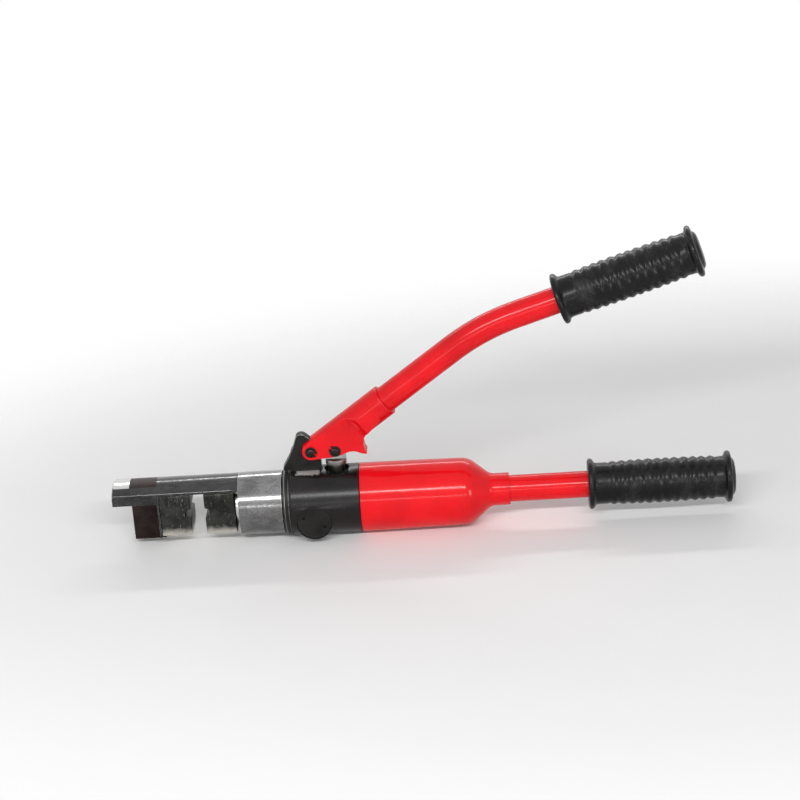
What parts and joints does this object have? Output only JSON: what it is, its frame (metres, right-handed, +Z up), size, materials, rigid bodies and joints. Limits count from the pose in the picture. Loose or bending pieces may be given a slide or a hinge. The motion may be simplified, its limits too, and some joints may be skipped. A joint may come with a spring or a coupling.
{
  "type": "hydraulic cable crimping tool",
  "caption": "Hand-pumped hydraulic crimping tool for cable lugs: a turning C-shaped head with one pair of half-hexagon dies, black pump body, red oil tank, pump lever and two ribbed black grips.",
  "frame": {"origin": "crimp centre: middle of the hexagon nest between the two dies, on the ram's axis, with the ram drawn back", "axes": "+X from the jaws towards the grips, +Z up towards the pump lever, Y along the crimped cable"},
  "size_m": [0.477, 0.053, 0.2313],
  "materials": {
    "chrome": "gloss",
    "die_steel": "satin",
    "black_steel": "satin",
    "plain_steel": "satin",
    "spring_steel": "satin",
    "bronze": "satin",
    "seal_rubber": "matt",
    "red_paint": "gloss",
    "grip_rubber": "matt"
  },
  "bodies": {
    "pump": {"pump_body": "black_steel", "fulcrum_lug": "black_steel", "swivel_collar": "black_steel", "swivel_wire_ring": "plain_steel", "head_seal": "seal_rubber", "side_plug": "black_steel", "plug_seal": "seal_rubber", "relief_screw": "plain_steel", "relief_spring": "spring_steel", "relief_ball": "spring_steel", "suction_ball": "spring_steel", "suction_spring": "spring_steel", "delivery_ball": "spring_steel", "delivery_spring": "spring_steel", "delivery_stop": "plain_steel", "suction_strainer": "bronze", "plunger_bush": "bronze", "plunger_seal": "seal_rubber", "return_rod": "plain_steel", "tank_shell": "red_paint", "tank_seal": "seal_rubber", "oil_bladder": "seal_rubber", "bladder_clamp": "plain_steel", "lower_tube": "red_paint", "lower_grip": "grip_rubber"},
    "head": {"c_head": "chrome", "ram_wiper": "seal_rubber", "anvil_die": "die_steel", "anvil_nub_ring": "seal_rubber"},
    "ram": {"ram": "chrome", "ram_seal": "seal_rubber", "ram_die": "die_steel", "ram_nub_ring": "seal_rubber", "ram_spring_retainer": "plain_steel", "ram_return_spring": "spring_steel"},
    "lever": {"lever_casting": "red_paint", "fulcrum_pin": "black_steel", "plunger_pin": "black_steel", "pin_circlips": "black_steel", "twist_screw": "plain_steel"},
    "handle": {"upper_tube": "red_paint", "upper_grip": "grip_rubber"},
    "plunger": {"plunger": "plain_steel"}
  },
  "joints": [
    {"name": "lever_pump", "type": "hinge", "parent": "pump", "child": "lever", "pos_m": [0.0902, 0, 0.043], "axis": [0, 1, 0], "range_deg": [0, 16]},
    {"name": "plunger_stroke", "type": "slide", "parent": "pump", "child": "plunger", "axis": [0, 0, -1], "range_m": [0, 0.00502]},
    {"name": "handle_twist", "type": "hinge", "parent": "lever", "child": "handle", "pos_m": [0.1494, 0, 0.0807], "axis": [-0.809, 0, -0.5878], "range_deg": [0, 60]},
    {"name": "head_swivel", "type": "hinge", "parent": "pump", "child": "head", "pos_m": [0.0743, 0, 0], "axis": [1, 0, 0], "continuous": true},
    {"name": "ram_stroke", "type": "slide", "parent": "head", "child": "ram", "axis": [-1, 0, 0], "range_m": [0, 0.0105], "stiffness_N_per_m": 1500, "springref_m": -0.01, "deforming": ["ram_return_spring"]}
  ],
  "couplings": [
    {"joint": "plunger_stroke", "follows": "lever_pump", "m_per_rad": 0.017964}
  ]
}
